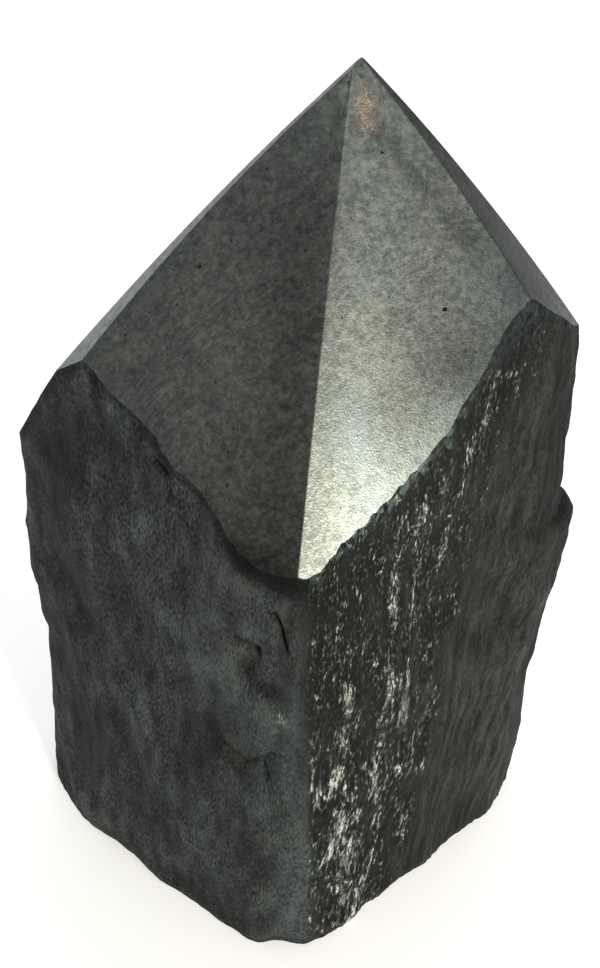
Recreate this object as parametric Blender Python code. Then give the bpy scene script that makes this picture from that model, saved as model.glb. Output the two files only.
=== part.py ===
"""A hematite specimen: one rough stone column, ground at the top to a polished seven-sided point.

The stone is drawn from the foot of its front edge, which is x = 0, y = 0, with x to the right
and y to the back. The finished solid is then set so that the middle of its base is the origin.
"""
import math

import bmesh
import bpy
from mathutils import Vector, noise

MM = 0.001

# Driving dimensions
TIP_HEIGHT = 95.0 * MM
TIP_X = 3.7 * MM
TIP_Y = 23.9 * MM
COLUMN_TOP = 100.0 * MM
SHOULDER_HEIGHT = 62.0 * MM

# Corners of the column's plan at the base and at the shoulder, in mm, and how far each is rounded
CORNERS = {
    "front edge, left":  ((-4.2, -1.0), (-3.7, 0.4), 1.6),
    "front edge, right": ((1.8, -0.7), (0.4, -0.2), 1.6),
    "right side, swell": ((11.3, 7.5), (9.1, 6.3), 4.0),
    "right cheek":       ((24.0, 19.8), (26.3, 23.2), 1.4),
    "right":             ((28.4, 28.6), (27.8, 28.0), 2.8),
    "back right":        ((20.5, 40.0), (20.0, 38.0), 5.0),
    "back":              ((-3.0, 51.2), (-3.0, 47.5), 6.0),
    "back left":         ((-24.5, 39.0), (-24.0, 37.0), 5.0),
    "left":              ((-31.8, 27.3), (-30.6, 26.5), 4.0),
    "left cheek":        ((-24.6, 16.0), (-24.4, 16.2), 2.4),
    "left side, swell":  ((-11.6, 4.7), (-8.0, 3.4), 4.0),
}

# Where the left and the right outline run, as (height, x) in mm
LEFT_OUTLINE = ((0.0, -31.2), (3.2, -31.2), (9.0, -30.9), (14.6, -30.7), (22.5, -30.5), (25.1, -30.3),
                (27.6, -30.9), (32.5, -31.1), (34.9, -31.5), (39.5, -31.6), (44.0, -31.1),
                (48.4, -31.0), (52.6, -31.2), (56.0, -30.5), (66.0, -30.2))
RIGHT_OUTLINE = ((0.0, 28.1), (7.3, 28.4), (10.2, 28.6), (18.5, 28.4), (23.8, 29.0), (31.4, 29.5),
                 (36.2, 30.0), (40.9, 30.6), (43.2, 30.7), (44.3, 30.2), (45.2, 28.9), (47.5, 28.6),
                 (53.9, 28.5), (60.0, 28.3), (68.0, 27.9))
OUTLINE_REACH = 9.0 * MM
MOST_CUT = 0.42

# Lumps and hollows, in mm: place along the side from the front edge (left is minus), height,
# half width, half height, and how far the face moves out
RELIEF = {
    "hollow under the ridge's foot":   (-2.6, 48.5, 4.2, 4.5, -1.3),
    "worn band on the left side":      (-17.0, 57.0, 6.0, 5.0, -0.5),
    "flake scar":                      (-6.5, 31.0, 5.2, 4.2, -0.9),
    "lip under the flake scar":        (-6.0, 24.6, 6.0, 2.6, 0.6),
    "swell low on the left side":      (-17.0, 20.0, 8.0, 9.0, 0.5),
    "dent in the left cheek":          (-30.0, 30.0, 5.0, 9.0, -0.6),
    "pit beside the front edge":       (-5.6, 43.6, 1.6, 1.5, -0.9),
    "chip at the foot":                (-1.6, 0.6, 3.0, 1.6, -1.0),
    "broken band on the right side":   (7.5, 52.0, 7.0, 3.0, -0.6),
    "swell of the right side":         (13.0, 28.0, 9.0, 14.0, 0.4),
    "trough before the right cheek":   (25.0, 38.0, 5.0, 16.0, -0.6),
    "hollow high on the right cheek":  (27.0, 73.0, 4.5, 5.0, -0.7),
    "break low on the back":           (70.0, 14.0, 9.0, 8.0, -1.4),
    "swell high on the back":          (62.0, 42.0, 9.0, 9.0, 1.0),
    "trough on the back left":         (-62.0, 30.0, 7.0, 18.0, -1.2),
    "step on the back right":          (46.0, 24.0, 6.0, 8.0, 0.9),
}

# Roughness of the broken faces: swells, shallow shell-like scars with sharp rims, lumps, and the
# grain that runs up the right-hand sides
SWELL_SIZE = 16.0 * MM
SWELL_DEPTH = 0.45 * MM
SCAR_SIZE = 9.5 * MM
SCAR_DEPTH = 1.3 * MM
SCAR_LEVEL = 0.30
SCAR_STRETCH = 0.7
LUMP_SIZE = 5.0 * MM
LUMP_DEPTH = 0.30 * MM
LUMP_SHIFT = Vector((7.3, 1.9, 4.1))
GRAIN_WIDTH = 2.6 * MM
GRAIN_LENGTH = 26.0 * MM
GRAIN_DEPTH = 0.35 * MM
GRAIN_LEAN = 0.20
# Close under the ground point the broken faces are calmer
CALM_SHARE = 0.35
CALM_REACH = 7.0 * MM
EDGE_WEAR = 0.4 * MM
EDGE_WEAR_HEIGHT = 1.5 * MM

# Ground facets: compass bearing and slope in degrees, height over the tip's place, and crown
FACETS = {
    "front right": (-70.6, 62.5, 94.96 * MM, 0.9 * MM),
    "right":       (-17.7, 50.9, 95.12 * MM, 1.5 * MM),
    "back right":  (50.0, 59.8, 95.75 * MM, 1.6 * MM),
    "back":        (104.0, 58.0, 95.30 * MM, 0.9 * MM),
    "back left":   (154.0, 52.0, 94.91 * MM, 0.9 * MM),
    "left":        (194.7, 44.0, 94.68 * MM, 1.2 * MM),
    "front left":  (258.5, 59.6, 95.37 * MM, 0.9 * MM),
}
CROWN_RUN = 14.0 * MM
CROWN_HALF_WIDTH = 16.0 * MM
CROWN_LIMIT = 3.0 * MM

# Mesh steps
SIDE_STEP = 2.1 * MM
ROW_STEP = 2.1 * MM
ROUND_STEPS = 3
TIP_RINGS = 9
TIP_REACH = 46.0 * MM
FACET_STEPS = 5
SKIRT_DROP = 10.0 * MM
SPLIT_STEPS = 40

STONE_COLOUR = (0.045, 0.048, 0.049, 1.0)
STONE_ROUGHNESS = 0.5
STONE_METALLIC = 0.25


def smooth_step(value):
    """Ease from 0 to 1 without a kink at either end."""
    value = min(1.0, max(0.0, value))
    return value * value * (3.0 - 2.0 * value)


def read_outline(outline, height):
    """The x of an outline at one height."""
    lower = outline[0]
    for upper in outline[1:]:
        if height <= upper[0] * MM:
            part = (height - lower[0] * MM) / ((upper[0] - lower[0]) * MM)
            return (lower[1] + (upper[1] - lower[1]) * smooth_step(part)) * MM
        lower = upper
    return lower[1] * MM


def plan_corners(height):
    """The plan's corners at one height, from the base to the shoulder."""
    part = min(1.0, height / SHOULDER_HEIGHT)
    corners = []
    for base, shoulder, _ in CORNERS.values():
        corners.append(Vector(base).lerp(Vector(shoulder), part) * MM)
    return corners


def side_counts():
    """How many points each side of the plan takes, so that every level has the same points."""
    corners = plan_corners(0.0)
    counts = []
    for index, corner in enumerate(corners):
        following = corners[(index + 1) % len(corners)]
        counts.append(max(1, round((following - corner).length / SIDE_STEP) - 1))
    return counts


def corner_cuts(corners):
    """How much of its two sides each corner's rounding takes, always short of their middles."""
    cuts = []
    for index, (_, _, cut) in enumerate(CORNERS.values()):
        before = (corners[index] - corners[index - 1]).length
        after = (corners[(index + 1) % len(corners)] - corners[index]).length
        cuts.append(min(cut * MM, MOST_CUT * before, MOST_CUT * after))
    return cuts


def plan_outline(height, counts):
    """The rounded plan at one height, as points in order from the front edge to the right."""
    corners = plan_corners(height)
    cuts = corner_cuts(corners)
    points = []
    for index, corner in enumerate(corners):
        before = corners[index - 1]
        after = corners[(index + 1) % len(corners)]
        start = corner + (before - corner).normalized() * cuts[index]
        end = corner + (after - corner).normalized() * cuts[index]
        for step in range(ROUND_STEPS):
            part = step / (ROUND_STEPS - 1)
            points.append(start.lerp(corner, part).lerp(corner.lerp(end, part), part))
        cut_after = cuts[(index + 1) % len(corners)]
        far_end = after + (corner - after).normalized() * cut_after
        for step in range(1, counts[index]):
            points.append(end.lerp(far_end, step / counts[index]))
    return points


def fit_outlines(points, height):
    """Move the left and the right corner of a level out or in to the stone's outline."""
    left = min(point.x for point in points)
    right = max(point.x for point in points)
    left_move = read_outline(LEFT_OUTLINE, height) - left
    right_move = read_outline(RIGHT_OUTLINE, height) - right
    for point in points:
        point.x += left_move * (1.0 - smooth_step((point.x - left) / OUTLINE_REACH))
        point.x += right_move * (1.0 - smooth_step((right - point.x) / OUTLINE_REACH))


def places_along(points):
    """How far each point lies from the front edge along the plan, with the left side as minus."""
    distances = [0.0]
    for index in range(1, len(points)):
        distances.append(distances[-1] + (points[index] - points[index - 1]).length)
    around = distances[-1] + (points[0] - points[-1]).length
    front = next(distance for distance, point in zip(distances, points) if point.x >= 0.0)
    places = [distance - front for distance in distances]
    return [place if place < around / 2 else place - around for place in places]


def outward(points, index):
    """The direction that points out of the plan at one point."""
    along = points[(index + 1) % len(points)] - points[index - 1]
    return Vector((along.y, -along.x)).normalized()


def relief(place, height):
    """The sum of the named lumps and hollows at one place."""
    total = 0.0
    for centre, level, half_width, half_height, amount in RELIEF.values():
        across = (place / MM - centre) / half_width
        up = (height / MM - level) / half_height
        total += amount * MM * math.exp(-across * across - up * up)
    return total


def roughness(point, place, height):
    """The broken faces' swells and lumps, and the upright grain of the right-hand sides."""
    swell = noise.noise(point / SWELL_SIZE) * SWELL_DEPTH
    distances, _ = noise.voronoi(Vector((point.x, point.y, point.z * SCAR_STRETCH)) / SCAR_SIZE)
    scar = (distances[0] ** 2 - SCAR_LEVEL) * SCAR_DEPTH
    lump = noise.noise(point / LUMP_SIZE + LUMP_SHIFT) * LUMP_DEPTH
    across = (place - height * GRAIN_LEAN) / GRAIN_WIDTH
    grain = noise.noise(Vector((across, height / GRAIN_LENGTH, 2.7))) * GRAIN_DEPTH
    grain_share = smooth_step(place / (3.0 * MM)) if place > 0.0 else 0.0
    return (swell + scar + lump + grain * grain_share) * liveliness(point)


def liveliness(point):
    """How much of the roughness shows at a point: less close under the ground point."""
    across = point.x - TIP_X
    back = point.y - TIP_Y
    gap = min(facet_height(facet, across, back) for facet in FACETS.values()) - point.z
    return CALM_SHARE + (1.0 - CALM_SHARE) * smooth_step(gap / CALM_REACH)


def edge_wear(height):
    """How far the lower edge is worn back."""
    return EDGE_WEAR * (1.0 - smooth_step(height / EDGE_WEAR_HEIGHT))


def column_levels():
    """Every level of the rough column, from the base to the top."""
    counts = side_counts()
    places = places_along(plan_outline(0.0, counts))
    heights = [0.0, EDGE_WEAR_HEIGHT]
    while heights[-1] < COLUMN_TOP:
        heights.append(heights[-1] + ROW_STEP)
    levels = []
    for height in heights:
        points = plan_outline(height, counts)
        level = []
        for index, point in enumerate(points):
            place = places[index]
            spot = Vector((point.x, point.y, height))
            move = relief(place, height) + roughness(spot, place, height) - edge_wear(height)
            moved = point + outward(points, index) * move
            level.append(Vector((moved.x, moved.y, height)))
        fit_outlines(level, height)
        levels.append(level)
    return levels


def base_centre(levels):
    """The middle of the column's plan, which becomes the origin."""
    spots = [spot for level in levels for spot in level if spot.z < SHOULDER_HEIGHT]
    x_values = [spot.x for spot in spots]
    y_values = [spot.y for spot in spots]
    return Vector(((min(x_values) + max(x_values)) / 2, (min(y_values) + max(y_values)) / 2, 0.0))


def bridge_rings(mesh, lower, upper):
    """Join two rings of points with a band of faces."""
    for index, corner in enumerate(lower):
        following = (index + 1) % len(lower)
        mesh.faces.new((corner, lower[following], upper[following], upper[index]))


def finish_mesh(mesh, name):
    """Turn a bmesh into an object in the scene."""
    bmesh.ops.recalc_face_normals(mesh, faces=mesh.faces)
    data = bpy.data.meshes.new(name)
    mesh.to_mesh(data)
    mesh.free()
    piece = bpy.data.objects.new(name, data)
    bpy.context.scene.collection.objects.link(piece)
    return piece


def make_column(levels, centre):
    """The rough column, flat at the foot and taller than the ground point."""
    mesh = bmesh.new()
    rings = [[mesh.verts.new(spot - centre) for spot in level] for level in levels]
    for lower, upper in zip(rings, rings[1:]):
        bridge_rings(mesh, lower, upper)
    mesh.faces.new(list(reversed(rings[0])))
    mesh.faces.new(rings[-1])
    return finish_mesh(mesh, "hematite_point")


def facet_height(facet, across, back):
    """The height of one crowned facet above a place measured from under the tip."""
    bearing, slope, summit, crown = facet
    turn = math.radians(bearing)
    run = across * math.cos(turn) + back * math.sin(turn)
    aside = back * math.cos(turn) - across * math.sin(turn)
    swell = 1.0 - ((run - CROWN_RUN) / CROWN_RUN) ** 2 - (aside / CROWN_HALF_WIDTH) ** 2
    swell = max(swell, -CROWN_LIMIT / crown)
    return summit - math.tan(math.radians(slope)) * run + crown * swell


def facet_pull(facet):
    """The facet's fall as a vector of the plan, which points down the slope."""
    bearing, slope, _, _ = facet
    turn = math.radians(bearing)
    return Vector((math.cos(turn), math.sin(turn))) * math.tan(math.radians(slope))


def ridge_bearing(facet, following, reach):
    """The bearing at which two neighbouring facets meet, this far out from the tip."""
    apart = facet_pull(facet) - facet_pull(following)
    low = math.atan2(apart.y, apart.x)
    high = low + math.pi
    for _ in range(SPLIT_STEPS):
        middle = (low + high) / 2
        across = reach * math.cos(middle)
        back = reach * math.sin(middle)
        if facet_height(facet, across, back) < facet_height(following, across, back):
            low = middle
        else:
            high = middle
    return (low + high) / 2


def tip_ring(reach):
    """One ring of the point's surface, with a point on every ridge."""
    facets = list(FACETS.values())
    bearings = []
    for index, facet in enumerate(facets):
        bearings.append(ridge_bearing(facets[index - 1], facet, reach))
    ring = []
    for index, facet in enumerate(facets):
        start = bearings[index]
        end = bearings[(index + 1) % len(facets)]
        while end < start:
            end += 2.0 * math.pi
        while end - start > 2.0 * math.pi:
            end -= 2.0 * math.pi
        for step in range(FACET_STEPS):
            bearing = start + (end - start) * step / FACET_STEPS
            across = reach * math.cos(bearing)
            back = reach * math.sin(bearing)
            height = min(facet_height(other, across, back) for other in facets)
            ring.append(Vector((across, back, height)))
    return ring


def make_point(centre):
    """The ground point: crowned facets round the tip, over a wide skirt that clears the column."""
    place = Vector((TIP_X, TIP_Y, 0.0)) - centre
    mesh = bmesh.new()
    tip = mesh.verts.new(place + Vector((0.0, 0.0, TIP_HEIGHT)))
    rings = []
    for index in range(1, TIP_RINGS + 1):
        reach = TIP_REACH * index / TIP_RINGS
        rings.append([mesh.verts.new(place + spot) for spot in tip_ring(reach)])
    for index, corner in enumerate(rings[0]):
        mesh.faces.new((tip, corner, rings[0][(index + 1) % len(rings[0])]))
    for lower, upper in zip(rings, rings[1:]):
        bridge_rings(mesh, lower, upper)
    skirt = [mesh.verts.new(Vector((corner.co.x, corner.co.y, -SKIRT_DROP))) for corner in rings[-1]]
    bridge_rings(mesh, rings[-1], skirt)
    mesh.faces.new(skirt)
    return finish_mesh(mesh, "ground_point_cutter")


def stone_material():
    """Plain dark grey hematite."""
    material = bpy.data.materials.new("hematite")
    material.use_nodes = True
    shader = material.node_tree.nodes["Principled BSDF"]
    shader.inputs["Base Color"].default_value = STONE_COLOUR
    shader.inputs["Roughness"].default_value = STONE_ROUGHNESS
    shader.inputs["Metallic"].default_value = STONE_METALLIC
    return material


def grind_point(column, point):
    """Keep only the part of the column that lies inside the ground point."""
    grind = column.modifiers.new("ground point", "BOOLEAN")
    grind.operation = "INTERSECT"
    grind.solver = "EXACT"
    grind.object = point
    point.hide_render = True
    point.display_type = "WIRE"


def main():
    for old in list(bpy.data.objects):
        bpy.data.objects.remove(old, do_unlink=True)
    levels = column_levels()
    centre = base_centre(levels)
    column = make_column(levels, centre)
    point = make_point(centre)
    grind_point(column, point)
    material = stone_material()
    column.data.materials.append(material)
    point.data.materials.append(material)


main()
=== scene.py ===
"""Looks of the hematite specimen: the rough column, its ground point, their finish and the studio.

Lengths in the tables are in millimetres and the stone is drawn from the foot of its front edge,
which is x = 0, y = 0, with x to the right and y to the back. The finished stone then stands with
the middle of its base at the origin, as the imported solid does.
"""
import math

import bmesh
import bpy
import numpy
from mathutils import Matrix, Vector, noise


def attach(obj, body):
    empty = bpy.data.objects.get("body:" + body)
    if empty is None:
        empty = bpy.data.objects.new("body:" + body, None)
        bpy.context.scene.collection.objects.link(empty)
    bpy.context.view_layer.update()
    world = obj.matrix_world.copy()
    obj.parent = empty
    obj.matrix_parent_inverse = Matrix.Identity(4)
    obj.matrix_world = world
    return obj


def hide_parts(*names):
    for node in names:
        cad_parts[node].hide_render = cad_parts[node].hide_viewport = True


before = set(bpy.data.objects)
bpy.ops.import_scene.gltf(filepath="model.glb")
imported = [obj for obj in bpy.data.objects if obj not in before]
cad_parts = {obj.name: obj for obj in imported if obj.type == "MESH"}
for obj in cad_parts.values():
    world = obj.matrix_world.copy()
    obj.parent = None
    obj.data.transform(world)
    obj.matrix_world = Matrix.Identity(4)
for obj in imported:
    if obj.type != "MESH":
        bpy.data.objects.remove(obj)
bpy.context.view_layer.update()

bl_info = {
    "name": "Hematite point",
    "version": (1, 0, 0),
    "blender": (4, 5, 0),
    "location": "View3D > Sidebar > Hematite",
    "description": "Builds a rough hematite column with a ground seven-sided point and its studio",
    "category": "Object",
}

MM = 0.001
STONE_NODE = "hematite_point"
STONE_NAME = "hematite_stone"
WRAP_NAME = "stone wrap"
WRAP_UNIT = 0.1

# The ground point: where its tip stands, and how tall the rough column is before it is ground
TIP_X = 3.7
TIP_Y = 23.9
BASE_CENTRE = Vector((-0.494, 24.435, 0.0))
SHOULDER_HEIGHT = 62.0
COLUMN_TOP = 100.0
ROWS_TOP = 79.0

# Corners of the column's plan at the base and at the shoulder, how far each is rounded, and the
# spacing of the points on the side that follows
CORNERS = {
    "front edge, left": ((-4.2, -1.0), (-3.7, 0.4), 1.6, 0.24),
    "front edge, right": ((1.8, -0.7), (0.4, -0.2), 1.6, 0.22),
    "right side, swell": ((11.3, 7.5), (9.1, 6.3), 4.0, 0.22),
    "right cheek": ((24.0, 19.8), (26.3, 23.2), 1.4, 0.30),
    "right": ((28.4, 28.6), (27.8, 28.0), 2.8, 0.50),
    "back right": ((20.5, 40.0), (20.0, 38.0), 5.0, 0.50),
    "back": ((-3.0, 51.2), (-3.0, 47.5), 6.0, 0.50),
    "back left": ((-24.5, 39.0), (-24.0, 37.0), 5.0, 0.50),
    "left": ((-31.8, 27.3), (-30.6, 26.5), 4.0, 0.34),
    "left cheek": ((-24.6, 16.0), (-24.4, 16.2), 2.4, 0.28),
    "left side, swell": ((-11.6, 4.7), (-8.0, 3.4), 4.0, 0.26),
}
MOST_CUT = 0.42
LEAST_ROUND_POINTS = 5

# Where the left and the right outline run, as (height, x)
LEFT_OUTLINE = ((0.0, -31.2), (3.2, -31.2), (9.0, -30.9), (14.6, -30.7), (22.5, -30.5), (25.1, -30.3),
                (27.6, -30.9), (32.5, -31.1), (34.9, -31.5), (39.5, -31.6), (44.0, -31.1),
                (48.4, -31.0), (52.6, -31.2), (56.0, -30.5), (66.0, -30.2))
RIGHT_OUTLINE = ((0.0, 28.1), (7.3, 28.4), (10.2, 28.6), (18.5, 28.4), (23.8, 29.0), (31.4, 29.5),
                 (36.2, 30.0), (40.9, 30.6), (43.2, 30.7), (44.3, 30.2), (45.2, 28.9), (47.5, 28.6),
                 (53.9, 28.5), (60.0, 28.3), (68.0, 27.9))
OUTLINE_REACH = 9.0

# Lumps and hollows: place along the side from the front edge (left is minus), height, half width,
# half height, and how far the face moves out
RELIEF = {
    "hollow under the ridge's foot": (-2.6, 48.5, 4.2, 4.5, -1.3),
    "worn band on the left side": (-17.0, 57.0, 6.0, 5.0, -0.5),
    "flake scar": (-6.5, 31.0, 5.2, 4.2, -0.9),
    "lip under the flake scar": (-6.0, 24.6, 6.0, 2.6, 0.6),
    "swell low on the left side": (-17.0, 20.0, 8.0, 9.0, 0.5),
    "dent in the left cheek": (-30.0, 30.0, 5.0, 9.0, -0.6),
    "pit beside the front edge": (-5.6, 43.6, 1.6, 1.5, -0.9),
    "chip at the foot": (-1.6, 0.6, 3.0, 1.6, -1.0),
    "broken band on the right side": (7.5, 52.0, 7.0, 3.0, -0.6),
    "swell of the right side": (13.0, 28.0, 9.0, 14.0, 0.4),
    "trough before the right cheek": (25.0, 38.0, 5.0, 16.0, -0.6),
    "hollow high on the right cheek": (27.0, 73.0, 4.5, 5.0, -0.7),
    "break low on the back": (70.0, 14.0, 9.0, 8.0, -1.4),
    "swell high on the back": (62.0, 42.0, 9.0, 9.0, 1.0),
    "trough on the back left": (-62.0, 30.0, 7.0, 18.0, -1.2),
    "step on the back right": (46.0, 24.0, 6.0, 8.0, 0.9),
}

# Roughness of the broken faces, as in the solid
SWELL_SIZE = 16.0
SWELL_DEPTH = 0.45
SCAR_SIZE = 9.5
SCAR_DEPTH = 1.3
SCAR_LEVEL = 0.30
SCAR_STRETCH = 0.7
LUMP_SIZE = 5.0
LUMP_DEPTH = 0.30
LUMP_SHIFT = Vector((7.3, 1.9, 4.1))
GRAIN_WIDTH = 2.6
GRAIN_LENGTH = 26.0
GRAIN_DEPTH = 0.35
GRAIN_LEAN = 0.20
GRAIN_FADE = 3.0
# Close under the ground point the broken faces are calmer
CALM_SHARE = 0.35
CALM_REACH = 7.0
EDGE_WEAR = 0.4
EDGE_WEAR_HEIGHT = 1.5

# Ground facets: compass bearing and slope in degrees, height over the tip's place, and crown
FACETS = {
    "front right": (-70.6, 62.5, 94.96, 0.9),
    "right": (-17.7, 50.9, 95.12, 1.5),
    "back right": (50.0, 59.8, 95.75, 1.6),
    "back": (104.0, 58.0, 95.30, 0.9),
    "back left": (154.0, 52.0, 94.91, 0.9),
    "left": (194.7, 44.0, 94.68, 1.2),
    "front left": (258.5, 59.6, 95.37, 0.9),
}
CROWN_RUN = 14.0
CROWN_HALF_WIDTH = 16.0
CROWN_LIMIT = 3.0
TIP_REACH = 46.0
TIP_RINGS = 52
INNER_REACHES = (0.05, 0.12, 0.22, 0.40, 0.70)
SKIRT_DROP = 10.0
SPLIT_STEPS = 40
# The wheel that ground the facets left faint arcs: their radius, and how far their middle lies
# to the right of the line straight down from the tip
ARC_RADIUS = 18.0
ARC_MIDDLE = 8.0
# Points across each facet: how far the ones beside a ridge stand from it, the most of the width
# that each such step takes, and how many lie between
RIDGE_STEPS = (0.04, 0.10, 0.20)
RIDGE_SHARE = 0.03
FACET_STEPS = 20
# Facets aren't quite flat: size and depth of their faint waves
WAVE_SIZE = 7.0
WAVE_DEPTH = 0.035

# Fibres of the right-hand faces: width, length and depth of each size, and how they lean
FIBRES = ((0.80, 6.0, 0.13), (0.42, 2.6, 0.07))
FIBRE_LEAN = 0.15
FIBRE_LEAN_LOSS = 0.0008
# Grain of the left-hand and back faces: size, upright stretch and depth of each
CRUMBS = ((1.9, 0.55, 0.13), (0.85, 0.45, 0.09))
SIDE_BLEND = 2.5
RIGHT_SIDE_END = 44.0

# The scoops run out towards their top over this share of their half height
SCOOP_FADE = 1.6
# Shell-like scoops, and a flake that stands out with its depth as minus: place, height, half
# width, half height, depth and how soft the rim is
SCOOPS = {
    "raised flake": (-7.2, 34.6, 5.0, 6.0, -0.35, 0.16),
    "patch by the pit": (-4.4, 40.8, 1.9, 1.7, 0.45, 0.35),
    "scoop on the shoulder": (-22.0, 65.0, 3.4, 2.0, 0.30, 0.30),
}

# The lines of the cracks wander: size and reach of their bends
CRACK_WANDER_SIZE = 0.6
CRACK_WANDER = 0.12
# Cracks: both ends as place and height, half width and depth
CRACKS = {
    "crack under the ridge's foot": ((-3.4, 49.3), (-0.8, 44.8), 0.26, 0.60),
    "crack over the pit": ((-8.4, 45.5), (-4.7, 44.8), 0.30, 0.60),
    "pit": ((-6.3, 45.1), (-5.1, 44.5), 0.50, 0.80),
    "edge of the flake, left": ((-10.9, 30.2), (-6.7, 28.5), 0.38, 0.35),
    "edge of the flake, right": ((-6.7, 28.5), (-2.7, 30.7), 0.34, 0.35),
    "short crack under the flake": ((-4.0, 29.4), (-3.4, 27.6), 0.26, 0.50),
    "crack by the front edge": ((-2.1, 31.0), (-0.9, 30.6), 0.20, 0.35),
    "crack low by the edge": ((-2.6, 17.8), (-0.6, 17.4), 0.20, 0.35),
    "slit under the left facet": ((-21.5, 61.0), (-20.6, 60.2), 0.36, 0.70),
    "slit below it": ((-20.3, 58.9), (-19.9, 57.8), 0.22, 0.35),
}

# The pits lean with the facets, and their walls are a little uneven
PIT_LEAN = 60.0
PIT_SHAKE_SIZE = 0.35
PIT_SHAKE = 0.05
# Small open pits of the ground facets: place of the middle, radii, and turn about the upright
PITS = {
    "pit of the front right facet": ((12.5, 15.35, 74.5), (0.24, 0.20, 0.19), 20.0),
    "pit near the tip": ((6.1, 20.40, 87.5), (0.15, 0.12, 0.12), 0.0),
    "pit of the front left facet": ((-10.3, 16.10, 77.8), (0.26, 0.20, 0.16), 10.0),
}

# A tint isn't felt past so many times its reach above and below, and the cracks are this dark
TINT_LIMIT = 4.0
CRACK_DARKNESS = 1.6
# Tints of the stone: which mark, both ends of the middle line, how far it reaches and how strong
# Kinds of tint; the dark kind carries painted shade as well as darker patches of the stone
DARK_AND_SHADE, BLUE, BROWN, FLECKS_AND_GLINTS = range(4)
TINTS = {
    # The dark tints named shade or shadow are painted shade: on the polish they stand in for where its
    # reflection falls off, on the broken faces for shade under the ridge, the left facet and the flake
    "shadow under the ridge's foot": (DARK_AND_SHADE, (-6.0, 1.6, 55.5), (-0.6, 0.0, 52.5), 1.7, 0.85),
    # Painted shade along the rim under the front left facet
    "painted shade below the left facet": (DARK_AND_SHADE, (-15.8, 9.8, 65.0), (-6.0, 2.6, 56.4), 1.2, 0.35),
    # Painted shade where the reflection of the front right facet falls off beside its ridge
    "painted shade beside the ridge": (DARK_AND_SHADE, (6.0, 21.0, 89.0), (19.0, 18.6, 76.0), 1.6, 0.40),
    "worn front edge, foot": (BLUE, (0.9, -0.6, 2.0), (0.4, -0.5, 16.0), 1.7, 0.62),
    "worn front edge, middle": (BLUE, (0.2, -0.4, 16.0), (-0.9, -0.2, 40.0), 1.3, 0.30),
    "shade toward the right corner": (DARK_AND_SHADE, (22.0, 18.4, 73.5), (15.5, 13.4, 69.0), 5.2, 0.66),
    "shade across the right facet": (DARK_AND_SHADE, (12.0, 18.0, 76.0), (8.4, 9.6, 66.0), 4.8, 0.32),
    "shade beside the front ridge": (DARK_AND_SHADE, (-1.0, 16.0, 84.0), (-1.2, 3.0, 57.0), 4.6, 0.52),
    "shade at the left facet's foot": (DARK_AND_SHADE, (-5.0, 5.5, 61.0), (-1.5, 2.0, 56.5), 4.5, 0.30),
    "bloom at the right corner": (BLUE, (19.9, 17.6, 73.5), (17.7, 18.4, 75.0), 3.4, 0.9),
    "bloom along the lower rim": (BLUE, (18.0, 15.5, 70.0), (6.0, 5.4, 59.0), 1.3, 0.7),
    "bloom in the glare": (BLUE, (3.9, 8.6, 67.0), (5.0, 6.3, 62.5), 1.5, 0.8),
    "copper sparkle": (BROWN, (4.6, 22.2, 91.8), (4.4, 21.6, 90.2), 0.75, 0.8),
    "rough patch by the pit": (DARK_AND_SHADE, (-4.9, 1.2, 42.3), (-2.6, 0.2, 39.3), 1.1, 0.6),
    "dark round the pit": (DARK_AND_SHADE, (-4.5, 1.2, 50.0), (-1.4, 0.2, 40.0), 3.0, 0.26),
    # Painted shade under the ridge, on the right-hand side near the front edge
    "painted shade under the ridge, right side": (DARK_AND_SHADE, (3.2, 1.6, 51.0), (3.0, 1.4, 35.0), 4.2, 0.36),
    # Painted glints: pale flecks stand in for light caught by small crystal faces
    "glints in the patch": (FLECKS_AND_GLINTS, (-4.4, 0.8, 42.2), (-3.0, 0.2, 40.6), 0.7, 0.30),
    "glints under the patch": (FLECKS_AND_GLINTS, (-2.0, 0.0, 36.4), (-1.2, -0.1, 35.6), 0.7, 0.9),
    "bluish bloom of the flake": (BLUE, (-6.0, 1.8, 36.0), (-5.0, 1.2, 31.4), 2.4, 0.28),
    # Painted shadow under and beside the lower edge of the raised flake
    "painted shadow under the flake, left": (DARK_AND_SHADE, (-8.4, 3.2, 28.6), (-5.6, 1.4, 27.2), 1.1, 0.6),
    "painted shadow beside the flake": (DARK_AND_SHADE, (-9.2, 4.0, 31.6), (-8.2, 3.2, 29.4), 1.1, 0.5),
    "dark at the far left": (DARK_AND_SHADE, (-25.0, 17.6, 60.0), (-24.0, 16.6, 20.0), 4.5, 0.35),
    "ochre spot on the right": (BROWN, (19.1, 16.6, 35.0), (19.2, 16.7, 36.0), 0.8, 0.8),
    "brown at the foot": (BROWN, (-4.1, -0.6, 0.9), (-3.6, -0.6, 1.4), 1.6, 0.8),
    "brown under the flake": (BROWN, (-7.4, 2.6, 29.0), (-5.4, 1.4, 28.2), 0.9, 0.30),
}

# The blue-green chips under the rim fade out between these two places
CHIPS_FADE = (17.0, 25.0)

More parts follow.
